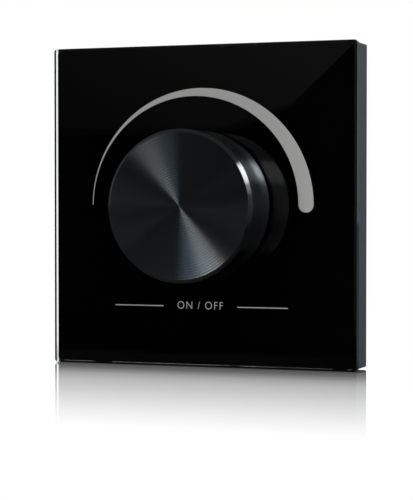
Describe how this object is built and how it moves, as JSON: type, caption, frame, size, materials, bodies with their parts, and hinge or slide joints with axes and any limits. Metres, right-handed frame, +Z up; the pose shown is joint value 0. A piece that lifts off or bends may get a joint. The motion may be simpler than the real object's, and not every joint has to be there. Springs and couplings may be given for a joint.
{
  "type": "wireless wall dimmer",
  "caption": "Square black glass wall dimmer with a round turned metal knob that rotates to dim and pushes to switch, battery powered, clipped to a wall plate.",
  "frame": {"origin": "centre of the back face that lies on the wall, on the knob's axis", "axes": "+Y into the wall, the front faces -Y, +Z up"},
  "size_m": [0.086, 0.0281, 0.086],
  "materials": {
    "clear_glass": "polished",
    "black_print": "gloss black ink",
    "grey_print": "matt grey ink",
    "foam_tape": "matt",
    "slate_plastic": "satin",
    "plate_plastic": "fine spark texture",
    "core_plastic": "moulded",
    "board_laminate": "solder mask",
    "screw_steel": "zinc plated",
    "spring_steel": "bright",
    "chip_resin": "matt",
    "crystal_can": "satin",
    "capacitor_ceramic": "matt",
    "capacitor_resin": "matt",
    "antenna_copper": "tinned copper",
    "cell_steel": "bright",
    "contact_brass": "bright",
    "encoder_resin": "moulded",
    "bush_metal": "nickel plated",
    "shaft_metal": "turned",
    "knob_metal": "spun and anodised"
  },
  "bodies": {
    "base": {"glass_panel": "clear_glass", "back_print": "black_print", "scale_print": "grey_print", "tape_frame": "foam_tape", "housing": "slate_plastic", "wall_plate": "plate_plastic", "circuit_board": "board_laminate", "board_screws": "screw_steel", "radio_chip": "chip_resin", "crystal": "crystal_can", "bulk_capacitor": "capacitor_resin", "chip_capacitors": "capacitor_ceramic", "antenna_wire": "antenna_copper", "coin_cell": "cell_steel", "cell_contact_minus": "spring_steel", "cell_contact_plus": "spring_steel", "encoder_body": "encoder_resin", "encoder_terminals": "contact_brass", "switch_dome": "spring_steel", "detent_spring": "spring_steel", "encoder_bush": "bush_metal", "encoder_clamp": "spring_steel", "bush_washer": "bush_metal", "bush_nut": "bush_metal"},
    "rotor": {"encoder_rotor": "encoder_resin", "rotor_wiper": "contact_brass"},
    "knob": {"encoder_shaft": "shaft_metal", "knob_cap": "knob_metal", "knob_core": "core_plastic", "hub_ring": "spring_steel"}
  },
  "joints": [
    {"name": "knob_turn", "type": "hinge", "parent": "base", "child": "rotor", "pos_m": [0, 0, 0], "axis": [0, 1, 0], "continuous": true},
    {"name": "knob_push", "type": "slide", "parent": "rotor", "child": "knob", "axis": [0, 1, 0], "range_m": [0, 0.0004], "stiffness_N_per_m": 6000, "deforming": ["switch_dome"]}
  ]
}
